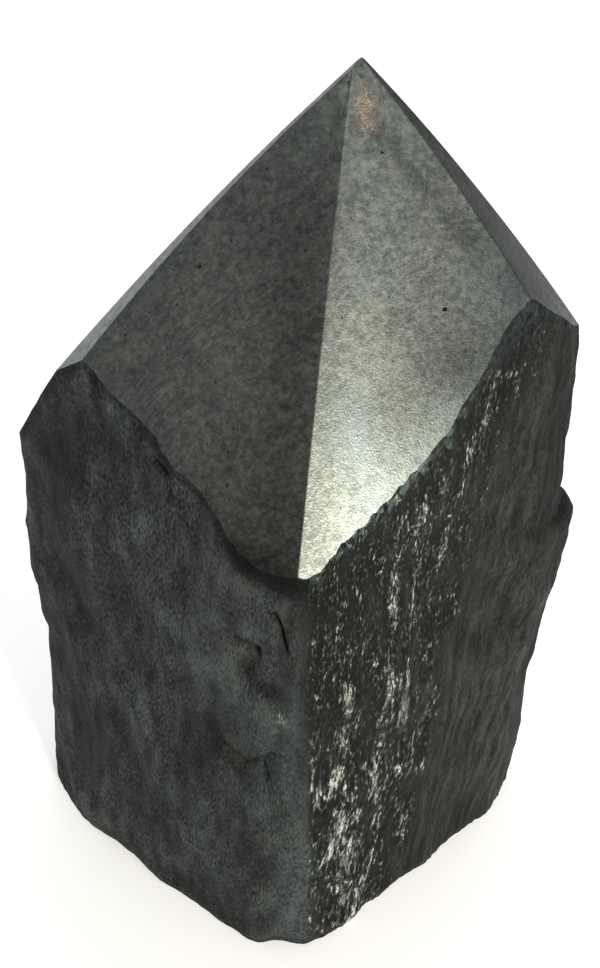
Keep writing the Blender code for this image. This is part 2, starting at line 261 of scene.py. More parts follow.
# Beds and strings of pale grains on the right-hand side: both ends of the middle line as place and
# height, half width and how thickly the grains lie
FLECK_BEDS = {
    "bed at the foot": ((9.2, 0.0), (4.8, 25.0), 3.8, 1.1),
    "by the front edge": ((2.1, 12.0), (3.0, 38.0), 0.7, 0.8),
    "over the bed": ((5.7, 26.0), (7.2, 37.5), 1.3, 1.15),
    "second string, low": ((12.2, 9.0), (11.6, 24.0), 1.1, 0.95),
    "second string": ((11.4, 23.0), (12.9, 37.5), 1.2, 1.15),
    "third string": ((13.6, 20.0), (15.6, 39.0), 1.0, 1.0),
    "spot near the foot": ((16.4, 8.0), (17.2, 14.0), 1.3, 0.8),
    "beside the third": ((16.8, 21.0), (17.2, 28.0), 0.9, 0.95),
    "fourth string": ((18.2, 20.0), (21.6, 43.0), 1.6, 0.6),
    "under the ridge's foot": ((5.0, 40.0), (6.4, 51.0), 0.8, 0.6),
    "beside it": ((7.5, 40.0), (9.2, 53.0), 0.7, 0.6),
    "third string, high": ((13.3, 38.0), (14.2, 56.0), 0.9, 0.9),
    "fourth string, high": ((16.2, 40.0), (17.2, 58.0), 1.0, 0.8),
    "under the rim": ((17.6, 49.0), (18.4, 58.0), 0.8, 0.6),
    "beside the rim": ((19.6, 48.0), (20.2, 57.0), 0.9, 0.6),
    "cluster high up": ((21.2, 57.5), (24.2, 67.0), 1.4, 0.9),
    "tail of the cluster": ((23.6, 61.0), (25.6, 69.0), 0.9, 0.6),
    "far spot, high": ((35.7, 54.0), (36.1, 57.0), 0.7, 0.7),
    "far spot": ((38.6, 42.0), (38.9, 45.0), 0.6, 0.6),
    "far spot, low": ((37.0, 37.6), (37.3, 39.8), 0.6, 0.6),
}
# How far the beds wander, over what height and width, and how far they fade past their ends
FLECK_WANDER = 1.1
FLECK_WANDER_SIZE = (4.5, 7.0)
FLECK_PAST = 2.0
# Patches in which the grains lie more or less thickly: width and height, middle and spread
FLECK_PATCH_SIZE = (2.2, 6.0)
FLECK_PATCH = 0.75
FLECK_PATCH_SPREAD = 0.6
# The sparse grains between them: how thickly, where they begin and end, and the climb of that end
FLECK_SPARSE = 0.36
FLECK_START = 1.3
FLECK_END = 18.0
FLECK_END_CLIMB = 0.17
# The width and height of the grains low down and high up, and where coarse gives way to fine
FLECK_SIZES = ((0.42, 1.15), (0.26, 0.80))
COARSE_TOP = 40.0
COARSE_FADE = 16.0

# Values written on the stone's points, beside the marks of the tints
MARKS = "stone marks"
PLAIN_MARKS = ("stands out", "below the rim", "right side", "how low")
# Fine relief counts so many times in how far a point stands out
FINE_SHARE = 2.0

# Names of the three finishes, and their places in the stone's list of materials
ROUGH_NAME = "broken hematite"
BASE_NAME = "sawn hematite base"
GROUND_NAME = "ground hematite"
FINISH_NAMES = (ROUGH_NAME, BASE_NAME, GROUND_NAME)
ROUGH_INDEX, BASE_INDEX, GROUND_INDEX = range(3)
FIBRE_NAME = "fibre wrap"

# How strongly the bloom and the painted shades show on the polish and on the broken faces
POLISH_BLOOM = 0.85
POLISH_SHADE = 0.75
ROUGH_SHADE = 0.85
ROUGH_SHINE = 0.07
# Pin-sized pits of the polish, and the ragged rim of the left-hand faces
PIN_PIT_SHARE = 0.8
PIN_PIT_COLOUR = (0.02, 0.02, 0.02, 1.0)
RAGGED_TINT = (0.42, 0.45, 0.46, 1.0)
# The sawn base: its greys, and the length, width and turn of its saw lines
SAWN_DARK = (0.028, 0.029, 0.030, 1.0)
SAWN_LIGHT = (0.085, 0.088, 0.088, 1.0)
SAWN_METALLIC = 0.4
SAW_LINE = (14.0, 0.5)
SAW_TURN = 24.0

# Camera: place, downward pitch and roll
CAMERA_PLACE = (-0.47, -97.61, 133.3)
CAMERA_PITCH = 35.0
CAMERA_ROLL = 1.62
SENSOR_HEIGHT = 36.0
# Nearest and farthest distance that the camera sees, in metres
CAMERA_RANGE = (0.005, 10.0)

# Studio: the floor, the height on the stone that the lights face, the bright parts of the room as
# bearing, elevation, spread and strength, and the soft lights as bearing, elevation, distance,
# size, which power they take and colour
FLOOR_SIZE = 6000.0
FLOOR_ROUGHNESS = 0.9
WHITE = (1.0, 1.0, 1.0, 1.0)
LIT_HEIGHT = 50.0
ROOM_PARTS = {
    "bright right": (-54.0, 50.0, 40.0, 0.64),
    "pale left": (-170.0, 30.0, 70.0, 0.08),
    "bright backdrop": (128.0, 0.0, 60.0, 1.4),
    "overhead": (60.0, 80.0, 60.0, 0.6),
}
LIGHTS = {
    "top softbox": (75.0, 60.0, 900.0, 600.0, "top", (1.0, 1.0, 1.0)),
    "key softbox": (-63.0, 5.0, 420.0, 70.0, "key", (1.0, 0.95, 0.76)),
}


def colour_setting(name, description, default):
    """A colour that a user can change."""
    return bpy.props.FloatVectorProperty(
        name=name, description=description, default=default, size=3, min=0.0, max=1.0,
        subtype="COLOR")


def share_setting(name, description, default):
    """A share from 0 to 1 that a user can change."""
    return bpy.props.FloatProperty(
        name=name, description=description, default=default, min=0.0, max=1.0, subtype="FACTOR")


class StoneSizes(bpy.types.PropertyGroup):
    """Sizes of the stone's fine shape."""
    column_rows: bpy.props.IntProperty(
        name="Rows", description="Rows of faces up the rough column", default=178, min=8)
    ridge_wear: bpy.props.FloatProperty(
        name="Ridge wear", description="Width of the worn ridges between the facets",
        default=0.035 * MM, unit="LENGTH")
    tip_wear: bpy.props.FloatProperty(
        name="Tip wear", description="How far the tip is worn down",
        default=0.12 * MM, unit="LENGTH")
    smooth_angle: bpy.props.FloatProperty(
        name="Smooth angle", description="Faces that meet at less than this are shaded smooth",
        default=math.radians(42.0), subtype="ANGLE")


class GroundFinish(bpy.types.PropertyGroup):
    """Finish of the ground and polished facets."""
    dark: colour_setting(
        name="Dark", description="Darkest grey of the polished stone", default=(0.074, 0.084, 0.086))
    light: colour_setting(
        name="Light", description="Lightest grey of the polished stone", default=(0.172, 0.190, 0.184))
    blue: colour_setting(
        name="Blue", description="Blue-grey bloom near the edges", default=(0.150, 0.180, 0.200))
    copper: colour_setting(
        name="Copper", description="Copper-coloured sparkle near the tip", default=(0.60, 0.34, 0.18))
    roughness: share_setting(
        name="Roughness", description="Middle roughness of the satin polish", default=0.38)
    metallic: share_setting(
        name="Metallic", description="How metallic the polish looks", default=0.9)


class RoughFinish(bpy.types.PropertyGroup):
    """Finish of the broken faces."""
    dark: colour_setting(
        name="Dark", description="Darkest grey of the broken stone", default=(0.003, 0.0033, 0.0035))
    light: colour_setting(
        name="Light", description="Lightest grey of the broken stone", default=(0.051, 0.0590, 0.0610))
    blue: colour_setting(
        name="Blue", description="Blue-grey of the worn front edge and the chipped rims",
        default=(0.045, 0.060, 0.068))
    chip: colour_setting(
        name="Chips", description="Blue-green of the small chips under the rim of the ground point",
        default=(0.075, 0.105, 0.108))
    brown: colour_setting(
        name="Brown", description="Brown iron stain", default=(0.055, 0.043, 0.032))
    # Also the colour of the painted glints on the left-hand faces
    fleck: colour_setting(
        name="Fleck", description="Cream-grey grains of the right-hand side",
        default=(0.340, 0.350, 0.348))
    roughness: share_setting(
        name="Roughness", description="Roughness of the broken stone", default=0.62)


class StudioLook(bpy.types.PropertyGroup):
    """Floor, light and camera."""
    floor_colour: colour_setting(
        name="Floor", description="Colour of the plain floor", default=(0.82, 0.82, 0.82))
    room_light: bpy.props.FloatProperty(
        name="Room light", description="Light of the room where it is dimmest", default=0.095, min=0.0)
    floor_glow: bpy.props.FloatProperty(
        name="Floor glow", description="Light that the pale floor gives off", default=0.35, min=0.0)
    top_power: bpy.props.FloatProperty(
        name="Top light", description="Power of the large light above", default=3.0, min=0.0,
        unit="POWER")
    key_power: bpy.props.FloatProperty(
        name="Key light", description="Power of the warm light on the right", default=3.0, min=0.0,
        unit="POWER")
    focal_length: bpy.props.FloatProperty(
        name="Focal length", description="Focal length in mm for the tall side of the picture",
        default=50.52, min=1.0)


def limit(value):
    """The value, but not under 0 or over 1."""
    return min(1.0, max(0.0, value))


def to_wrap(length):
    """A length in mm as a part of the wrap."""
    return length * MM / WRAP_UNIT


def from_wrap(part):
    """A part of the wrap as a length in mm."""
    return part * WRAP_UNIT / MM


def smooth_step(value):
    """Ease from 0 to 1 without a kink at either end."""
    value = limit(value)
    return value * value * (3.0 - 2.0 * value)


def read_outline(outline, height):
    """The x of an outline at one height."""
    lower = outline[0]
    for upper in outline[1:]:
        if height <= upper[0]:
            part = (height - lower[0]) / (upper[0] - lower[0])
            return lower[1] + (upper[1] - lower[1]) * smooth_step(part)
        lower = upper
    return lower[1]


def plan_corners(height):
    """The plan's corners at one height, from the base to the shoulder."""
    part = min(1.0, height / SHOULDER_HEIGHT)
    return [Vector(base).lerp(Vector(shoulder), part) for base, shoulder, _, _ in CORNERS.values()]


def side_counts():
    """How many points each side of the plan takes, so that every level has the same points."""
    corners = plan_corners(0.0)
    counts = []
    for index, (_, _, _, spacing) in enumerate(CORNERS.values()):
        side = corners[(index + 1) % len(corners)] - corners[index]
        counts.append(max(1, round(side.length / spacing) - 1))
    return counts


def round_counts():
    """How many points each corner's rounding takes."""
    return [max(LEAST_ROUND_POINTS, round(2.0 * cut / spacing))
            for _, _, cut, spacing in CORNERS.values()]


def corner_cuts(corners):
    """How much of its two sides each corner's rounding takes, always short of their middles."""
    cuts = []
    for index, (_, _, cut, _) in enumerate(CORNERS.values()):
        before = (corners[index] - corners[index - 1]).length
        after = (corners[(index + 1) % len(corners)] - corners[index]).length
        cuts.append(min(cut, MOST_CUT * before, MOST_CUT * after))
    return cuts


def plan_outline(height, sides, rounds):
    """The rounded plan at one height, as points in order from the front edge to the right."""
    corners = plan_corners(height)
    cuts = corner_cuts(corners)
    points = []
    for index, corner in enumerate(corners):
        before = corners[index - 1]
        after = corners[(index + 1) % len(corners)]
        start = corner + (before - corner).normalized() * cuts[index]
        end = corner + (after - corner).normalized() * cuts[index]
        for step in range(rounds[index]):
            part = step / (rounds[index] - 1)
            points.append(start.lerp(corner, part).lerp(corner.lerp(end, part), part))
        cut_after = cuts[(index + 1) % len(corners)]
        far_end = after + (corner - after).normalized() * cut_after
        for step in range(1, sides[index]):
            points.append(end.lerp(far_end, step / sides[index]))
    return points


def fit_outlines(points, height):
    """Move the left and the right corner of a level out or in to the stone's outline."""
    left = min(point.x for point in points)
    right = max(point.x for point in points)
    left_move = read_outline(LEFT_OUTLINE, height) - left
    right_move = read_outline(RIGHT_OUTLINE, height) - right
    for point in points:
        point.x += left_move * (1.0 - smooth_step((point.x - left) / OUTLINE_REACH))
        point.x += right_move * (1.0 - smooth_step((right - point.x) / OUTLINE_REACH))


def places_along(points):
    """How far each point lies from the front edge along the plan, with the left side as minus."""
    distances = [0.0]
    for index in range(1, len(points)):
        distances.append(distances[-1] + (points[index] - points[index - 1]).length)
    around = distances[-1] + (points[0] - points[-1]).length
    front = next(distance for distance, point in zip(distances, points) if point.x >= 0.0)
    places = [distance - front for distance in distances]
    return [place if place < around / 2 else place - around for place in places], around


def outward(points, index):
    """The direction that points out of the plan at one point."""
    along = points[(index + 1) % len(points)] - points[index - 1]
    return Vector((along.y, -along.x)).normalized()


def relief(place, height):
    """The sum of the named lumps and hollows at one place."""
    total = 0.0
    for centre, level, half_width, half_height, amount in RELIEF.values():
        across = (place - centre) / half_width
        up = (height - level) / half_height
        total += amount * math.exp(-across * across - up * up)
    return total


def roughness(point, place, height):
    """The broken faces' swells and lumps, and the upright grain of the right-hand sides."""
    swell = noise.noise(point / SWELL_SIZE) * SWELL_DEPTH
    distances, _ = noise.voronoi(Vector((point.x, point.y, point.z * SCAR_STRETCH)) / SCAR_SIZE)
    scar = (distances[0] ** 2 - SCAR_LEVEL) * SCAR_DEPTH
    lump = noise.noise(point / LUMP_SIZE + LUMP_SHIFT) * LUMP_DEPTH
    across = (place - height * GRAIN_LEAN) / GRAIN_WIDTH
    grain = noise.noise(Vector((across, height / GRAIN_LENGTH, 2.7))) * GRAIN_DEPTH
    grain_share = smooth_step(place / GRAIN_FADE) if place > 0.0 else 0.0
    return (swell + scar + lump + grain * grain_share) * liveliness(point)


def ground_height(point):
    """The height of the ground point over this place."""
    across = point.x - TIP_X
    back = point.y - TIP_Y
    return min(facet_height(facet, across, back) for facet in FACETS.values())


def liveliness(point):
    """How much of the roughness shows at a point: less close under the ground point."""
    gap = ground_height(point) - point.z
    return CALM_SHARE + (1.0 - CALM_SHARE) * smooth_step(gap / CALM_REACH)


def edge_wear(height):
    """How far the lower edge is worn back."""
    return EDGE_WEAR * (1.0 - smooth_step(height / EDGE_WEAR_HEIGHT))


def scoop(place, height):
    """How deep the shell-like scoops are at one place, with a sharp lower rim."""
    total = 0.0
    for centre, level, half_width, half_height, depth, softness in SCOOPS.values():
        across = (place - centre) / half_width
        up = (height - level) / half_height
        inside = smooth_step((1.0 - math.hypot(across, up)) / softness)
        total += depth * inside * smooth_step((1.0 - up) / SCOOP_FADE)
    return total


def crack(place, height):
    """How deep the cracks are at one place."""
    spot = Vector((place, height))
    wander = noise.noise(Vector((place, height, 5.1)) / CRACK_WANDER_SIZE) * CRACK_WANDER
    deepest = 0.0
    for start, end, half_width, depth in CRACKS.values():
        along = Vector(end) - Vector(start)
        part = (spot - Vector(start)).dot(along) / along.length_squared
        nearest = Vector(start) + along * limit(part)
        distance = (spot - nearest).length + wander
        deepest = max(deepest, depth * math.exp(-(distance / half_width) ** 2))
    return deepest


def right_share(place):
    """1 on the fibrous right-hand faces, 0 on the others."""
    return smooth_step(place / SIDE_BLEND) * smooth_step((RIGHT_SIDE_END - place) / SIDE_BLEND)


def fibre_place(place, height):
    """The place along the side where the leaning fibre through this point starts at the foot."""
    return place - height * (FIBRE_LEAN - FIBRE_LEAN_LOSS * height)


def fine_relief(point, place, height):
    """The fibres of the right-hand faces and the crumbs of the others."""
    share = right_share(place)
    across = fibre_place(place, height)
    fibres = 0.0
    for width, length, depth in FIBRES:
        fibres += noise.noise(Vector((across / width, height / length, width))) * depth
    crumbs = 0.0
    for size, stretch, depth in CRUMBS:
        crumbs += noise.noise(Vector((point.x, point.y, point.z * stretch)) / size) * depth
    return fibres * share + crumbs * (1.0 - 0.5 * share)


def column_levels(rows):
    """Every level of the rough column, with the way round and where each point lies on it."""
    sides = side_counts()
    rounds = round_counts()
    places, around = places_along(plan_outline(0.0, sides, rounds))
    levels = []
    for row in range(rows + 1):
        height = COLUMN_TOP if row == rows else ROWS_TOP * row / (rows - 1)
        points = plan_outline(height, sides, rounds)
        level = []
        for index, point in enumerate(points):
            place = places[index]
            spot = Vector((point.x, point.y, height))
            move = relief(place, height) + roughness(spot, place, height) - edge_wear(height)
            move += fine_relief(spot, place, height) - scoop(place, height) - crack(place, height)
            moved = point + outward(points, index) * move
            level.append(Vector((moved.x, moved.y, height)))
        fit_outlines(level, height)
        levels.append(level)
    return numpy.array(levels), places, around


def on_facet(bearing, across, back):
    """How far a place measured from under the tip lies out along a facet's bearing, and aside."""
    turn = math.radians(bearing)
    run = across * math.cos(turn) + back * math.sin(turn)
    aside = back * math.cos(turn) - across * math.sin(turn)
    return run, aside


def facet_height(facet, across, back):
    """The height of one crowned facet above a place measured from under the tip."""
    bearing, slope, summit, crown = facet
    run, aside = on_facet(bearing, across, back)
    swell = 1.0 - ((run - CROWN_RUN) / CROWN_RUN) ** 2 - (aside / CROWN_HALF_WIDTH) ** 2
    swell = max(swell, -CROWN_LIMIT / crown)
    return summit - math.tan(math.radians(slope)) * run + crown * swell


def facet_pull(facet):
    """The facet's fall as a vector of the plan, which points down the slope."""
    bearing, slope, _, _ = facet
    turn = math.radians(bearing)
    return Vector((math.cos(turn), math.sin(turn))) * math.tan(math.radians(slope))


def ridge_bearing(facet, following, reach):
    """The bearing at which two neighbouring facets meet, this far out from the tip."""
    apart = facet_pull(facet) - facet_pull(following)
    low = math.atan2(apart.y, apart.x)
    high = low + math.pi
    for _ in range(SPLIT_STEPS):
        middle = (low + high) / 2
        across = reach * math.cos(middle)
        back = reach * math.sin(middle)
        if facet_height(facet, across, back) < facet_height(following, across, back):
            low = middle
        else:
            high = middle
    return (low + high) / 2


def worn_height(across, back, ridge_wear, tip_top):
    """The height of the ground point with its ridges and its tip worn round."""
    heights = [facet_height(facet, across, back) for facet in FACETS.values()]
    heights.append(tip_top)
    lowest = min(heights)
    share = sum(math.exp((lowest - height) / ridge_wear) for height in heights)
    wave = noise.noise(Vector((across, back, lowest)) / WAVE_SIZE) * WAVE_DEPTH
    return lowest - ridge_wear * math.log(share) + wave


def facet_parts(width):
    """Where the points of one ring lie across a facet of this width, from ridge to ridge."""
    beside = []
    for number, step in enumerate(RIDGE_STEPS):
        beside.append(min(step, width * RIDGE_SHARE * (number + 1)) / width)
    inner = beside[-1]
    between = [inner + (1.0 - 2.0 * inner) * step / FACET_STEPS for step in range(1, FACET_STEPS)]
    return [0.0] + beside + between + [1.0 - part for part in reversed(beside)]


def tip_ring(reach, ridge_wear, tip_top):
    """One ring of the point's surface, with a point on every ridge."""
    facets = list(FACETS.values())
    bearings = []
    for index, facet in enumerate(facets):
        bearings.append(ridge_bearing(facets[index - 1], facet, reach))
    ring = []
    for index in range(len(facets)):
        start = bearings[index]
        end = bearings[(index + 1) % len(facets)]
        while end < start:
            end += 2.0 * math.pi
        while end - start > 2.0 * math.pi:
            end -= 2.0 * math.pi
        for part in facet_parts((end - start) * reach):
            bearing = start + (end - start) * part
            across = reach * math.cos(bearing)
            back = reach * math.sin(bearing)
            ring.append((across, back, worn_height(across, back, ridge_wear, tip_top)))
    return ring


def deselect_all():
    """Leave nothing selected."""
    bpy.ops.object.select_all(action="DESELECT")


def select_only(piece):
    """Leave one piece selected and active."""
    deselect_all()
    bpy.context.view_layer.objects.active = piece
    piece.select_set(True)


def rowed_cylinder(name, around, rows, radius, height):
    """Add a cylinder and cut its sides into rows."""
    deselect_all()
    bpy.ops.mesh.primitive_cylinder_add(
        vertices=around, radius=radius, depth=height, end_fill_type="NGON",
        location=(0.0, 0.0, height / 2))
    piece = bpy.context.object
    piece.name = name
    piece.data.name = name
    bpy.ops.object.transform_apply(location=True, rotation=True, scale=True)
    halves = 2 if rows % 2 == 0 else 1
    for cuts in (halves, rows // halves):
        if cuts > 1:
            bpy.ops.object.mode_set(mode="EDIT")
            mesh = bmesh.from_edit_mesh(piece.data)
            bpy.ops.mesh.select_all(action="DESELECT")
            for edge in mesh.edges:
                run = edge.verts[0].co - edge.verts[1].co
                edge.select_set(abs(run.z) > 0.99 * run.length)
            bmesh.update_edit_mesh(piece.data)
            bpy.ops.mesh.subdivide(number_cuts=cuts - 1)
            bpy.ops.object.mode_set(mode="OBJECT")
    return piece


def shape_rows(piece, levels, height):
    """Move every point of a rowed cylinder to its place on the levels, lowest level first."""
    rows = len(levels) - 1
    around = len(levels[0])
    count = len(piece.data.vertices)
    spots = numpy.empty(count * 3)
    piece.data.vertices.foreach_get("co", spots)
    spots = spots.reshape(count, 3)
    angles = numpy.arctan2(spots[:, 1], spots[:, 0]) + math.pi / 2
    column = numpy.rint(angles * around / (2.0 * math.pi)).astype(int) % around
    row = numpy.rint(spots[:, 2] * rows / height).astype(int)
    piece.data.vertices.foreach_set("co", levels[row, column].ravel())
    piece.data.update()
    return row, column


class HEMATITE_OT_rough_column(bpy.types.Operator):
    """Build the rough stone column, flat at the foot and taller than its ground point"""
    bl_idname = "hematite.rough_column"
    bl_label = "Rough column"

    def execute(self, context):
        rows = context.scene.stone_sizes.column_rows
        levels, places, around = column_levels(rows)
        height = COLUMN_TOP * MM
        radius = around * MM / (2.0 * math.pi)
        column = rowed_cylinder(STONE_NAME, len(places), rows, radius, height)
        levels = (levels - numpy.array(BASE_CENTRE)) * MM
        row, index = shape_rows(column, levels, height)
        wrap_sides(column, index, places, around)
        give_materials(column, ROUGH_INDEX)
        for face in column.data.polygons:
            if all(row[vertex] == 0 for vertex in face.vertices):
                face.material_index = BASE_INDEX
        return {"FINISHED"}


def stone_material(name):
    """The material of this name, made when it is first asked for."""
    return bpy.data.materials.get(name) or bpy.data.materials.new(name)


def give_materials(piece, index):
    """Give a piece the stone's three materials, and all its faces one of them."""
    for name in FINISH_NAMES:
        piece.data.materials.append(stone_material(name))
    for face in piece.data.polygons:
        face.material_index = index


def wrap_sides(column, index, places, around):
    """Write place along the side and height into the column's wrap."""
    wrap = column.data.uv_layers.new(name=WRAP_NAME)
    loops = column.data.loops
    for face in column.data.polygons:
        corners = [places[index[loops[loop].vertex_index]] for loop in face.loop_indices]
        seam = len(corners) == 4 and max(corners) - min(corners) > around / 2
        for loop, place in zip(face.loop_indices, corners):
            if seam and place < 0.0:
                place += around
            level = column.data.vertices[loops[loop].vertex_index].co.z
            wrap.data[loop].uv = (to_wrap(place), level / WRAP_UNIT)


def wrap_facets(point, column, per_facet):
    """Write the place across each facet, and how far it is below the tip, into the point's wrap."""
    wrap = point.data.uv_layers.new(name=WRAP_NAME)
    loops = point.data.loops
    facets = list(FACETS.values())
    foot = Vector((TIP_X, TIP_Y, 0.0)) - BASE_CENTRE
    for face in point.data.polygons:
        columns = [column[loops[loop].vertex_index] for loop in face.loop_indices]
        first = min(columns)
        if max(columns) - first > per_facet:
            first = max(columns)
        bearing, slope, _, _ = facets[first // per_facet]
        for loop in face.loop_indices:
            spot = point.data.vertices[loops[loop].vertex_index].co / MM - foot
            run, aside = on_facet(bearing, spot.x, spot.y)
            down = run / math.cos(math.radians(slope))
            wrap.data[loop].uv = (to_wrap(aside), to_wrap(-down))


class HEMATITE_OT_ground_point(bpy.types.Operator):
    """Grind the top of the rough column to its seven-sided point"""
    bl_idname = "hematite.ground_point"
    bl_label = "Ground point"

    def execute(self, context):
        sizes = context.scene.stone_sizes
        ridge_wear = sizes.ridge_wear / MM
        tip_top = max(summit for _, _, summit, _ in FACETS.values()) - sizes.tip_wear / MM
        reaches = [TIP_REACH * ring / TIP_RINGS for ring in range(TIP_RINGS, 0, -1)]
        reaches += list(reversed(INNER_REACHES))
        rings = [tip_ring(reach, ridge_wear, tip_top) for reach in reaches]
        skirt = [(across, back, -SKIRT_DROP) for across, back, _ in rings[0]]
        foot = Vector((TIP_X, TIP_Y, 0.0)) - BASE_CENTRE
        levels = (numpy.array([skirt] + rings) + numpy.array(foot)) * MM
        height = TIP_REACH * MM
        around = len(skirt)
        point = rowed_cylinder("ground_point", around, len(levels) - 1, height, height)
        _, column = shape_rows(point, levels, height)
        wrap_facets(point, column, around // len(FACETS))
        give_materials(point, GROUND_INDEX)
        cut_with(bpy.data.objects[STONE_NAME], point, "INTERSECT")
        return {"FINISHED"}


def cut_with(stone, cutter, operation):
    """Cut the stone with another piece, apply the cut and take the other piece away."""
    cut = stone.modifiers.new("cut", "BOOLEAN")
    cut.operation = operation
    cut.solver = "EXACT"
    cut.object = cutter
    select_only(stone)
    bpy.ops.object.modifier_apply(modifier=cut.name)
    if len(stone.data.polygons) == 0:
        raise RuntimeError("the cut left nothing of the stone")
    bpy.data.objects.remove(cutter, do_unlink=True)


class HEMATITE_OT_pits(bpy.types.Operator):
    """Sink the small open pits into the ground facets"""
    bl_idname = "hematite.pits"
    bl_label = "Pits"

    def execute(self, context):
        deselect_all()
        pits = []
        for centre, radii, turn in PITS.values():
            spot = (Vector(centre) - BASE_CENTRE) * MM
            bpy.ops.mesh.primitive_ico_sphere_add(subdivisions=3, radius=MM, location=spot)
            pit = bpy.context.object
            pit.scale = radii
            pit.rotation_euler = (math.radians(PIT_LEAN), 0.0, math.radians(turn))
            pits.append(pit)
        select_only(pits[0])
        for pit in pits:
            pit.select_set(True)
        bpy.ops.object.join()
        bpy.ops.object.transform_apply(location=True, rotation=True, scale=True)
        joined = bpy.context.object
        for vertex in joined.data.vertices:
            vertex.co += noise.noise_vector(vertex.co / (PIT_SHAKE_SIZE * MM)) * PIT_SHAKE * MM
        give_materials(joined, ROUGH_INDEX)
        cut_with(bpy.data.objects[STONE_NAME], joined, "DIFFERENCE")
        return {"FINISHED"}


def segment_share(spot, start, end, reach):
    """1 on the line between two points, falling softly to 0 around it."""
    along = end - start
    length = along.length_squared
    part = 0.0 if length == 0.0 else limit((spot - start).dot(along) / length)
    return math.exp(-((spot - start - along * part).length / reach) ** 2)


def fleck_density(place, height):
    """How thickly the pale grains lie at one place of the right-hand side."""
    if place < 0.0 or place > RIGHT_SIDE_END:
        return 0.0
    tall, width = FLECK_WANDER_SIZE
    wander = place + FLECK_WANDER * noise.noise(Vector((height / tall, place / width, 8.3)))
    fullest = 0.0
    for start, end, half, share in FLECK_BEDS.values():
        climb = limit((height - start[1]) / (end[1] - start[1]))
        beside = wander - start[0] - (end[0] - start[0]) * climb
        past = height - start[1] - (end[1] - start[1]) * climb
        fullest = max(fullest, share * math.exp(-(beside / half) ** 2 - (past / FLECK_PAST) ** 2))
    end = FLECK_END + FLECK_END_CLIMB * height
    sparse = FLECK_SPARSE * smooth_step((end + 3.0 - wander) / 10.0)
    width, tall = FLECK_PATCH_SIZE
    spot = Vector((fibre_place(place, height) / width, height / tall, 3.1))
    patch = FLECK_PATCH + FLECK_PATCH_SPREAD * noise.noise(spot)
    return min(1.0, max(fullest, sparse) * patch) * smooth_step((place - FLECK_START) / 0.8)


class HEMATITE_OT_marks(bpy.types.Operator):
    """Write the stone's painted shade and darker patches, where it is bluer, browner, flecked or given
    painted glints, and how far it stands out
    """
    bl_idname = "hematite.marks"
    bl_label = "Marks"

    def execute(self, context):
        stone = bpy.data.objects[STONE_NAME]
        data = stone.data
        wrap = data.uv_layers[WRAP_NAME].data
        places = {}
        for face in data.polygons:
            if face.material_index != ROUGH_INDEX:
                continue
            for loop in face.loop_indices:
                place, height = wrap[loop].uv
                places[data.loops[loop].vertex_index] = (from_wrap(place), from_wrap(height))
        data.attributes.new(MARKS, "FLOAT_COLOR", "POINT")
        for name in PLAIN_MARKS:
            data.attributes.new(name, "FLOAT", "POINT")
        marks = data.attributes[MARKS].data
        stand, rim, right, low = [data.attributes[name].data for name in PLAIN_MARKS]
        lines = [(kind, Vector(start), Vector(end), reach, amount)
                 for kind, start, end, reach, amount in TINTS.values()]
        for vertex in data.vertices:
            spot = vertex.co / MM + BASE_CENTRE
            tint = [0.0, 0.0, 0.0, 0.0]
            for kind, start, end, reach, amount in lines:
                if abs(spot.z - start.z) > TINT_LIMIT * reach + abs(end.z - start.z):
                    continue
                tint[kind] += amount * segment_share(spot, start, end, reach)
            rim[vertex.index].value = max(0.0, ground_height(spot) - spot.z)
            if vertex.index in places:
                place, height = places[vertex.index]
                tint[DARK_AND_SHADE] += CRACK_DARKNESS * crack(place, height)
                tint[FLECKS_AND_GLINTS] += fleck_density(place, height)
                fine = FINE_SHARE * fine_relief(spot, place, height)
                stand[vertex.index].value = roughness(spot, place, height) + fine
                right[vertex.index].value = right_share(place)
                low[vertex.index].value = smooth_step((COARSE_TOP - height) / COARSE_FADE)
            marks[vertex.index].color = [max(-1.0, min(1.0, share)) for share in tint]
        return {"FINISHED"}


def add_node(tree, kind, **settings):
    """Add a node and set what is named."""
    node = tree.nodes.new(kind)
    for name, value in settings.items():
        setattr(node, name, value)
    return node


def feed(tree, socket, value):
    """Join an output to a socket, or set the socket to a number or colour."""
    if isinstance(value, bpy.types.NodeSocket):
        tree.links.new(value, socket)
    else:
        socket.default_value = value


def set_inputs(node, values):
    """Set some of a node's inputs by name."""
    for name, value in values.items():
        node.inputs[name].default_value = value


def combine(tree, operation, first, second=0.0, third=0.0):
    """One step of arithmetic."""
    node = add_node(tree, "ShaderNodeMath", operation=operation)
    for socket, value in zip(node.inputs, (first, second, third)):
        feed(tree, socket, value)
    return node.outputs[0]


def times(tree, first, second, plus=None):
    """One value times another, and perhaps a third added to that."""
    if plus is None:
        return combine(tree, "MULTIPLY", first, second)
    return combine(tree, "MULTIPLY_ADD", first, second, plus)


def weigh(tree, *parts):
    """The sum of some patterns, each times its weight."""
    total = None
    for pattern, weight in parts:
        total = times(tree, pattern, weight, total)
    return total


def rest_of(tree, share):
    """What is left of 1 beside a share."""
    return combine(tree, "SUBTRACT", 1.0, share)


def fit_range(tree, value, low, high, new_low=0.0, new_high=1.0):
    """Stretch a value from one range to another, smoothly and without passing its ends."""
    node = add_node(tree, "ShaderNodeMapRange", interpolation_type="SMOOTHSTEP")
    for socket, part in zip(node.inputs, (value, low, high, new_low, new_high)):
        feed(tree, socket, part)
    return node.outputs[0]


def blend(tree, share, first, second, mode="MIX"):
    """Mix two colours by a share from 0 to 1."""
    node = add_node(tree, "ShaderNodeMix", data_type="RGBA", blend_type=mode)
    feed(tree, node.inputs[0], share)
    feed(tree, node.inputs[6], first)
    feed(tree, node.inputs[7], second)
    return node.outputs[2]


def colour(values):
    """A colour with full alpha."""
    return (values[0], values[1], values[2], 1.0)


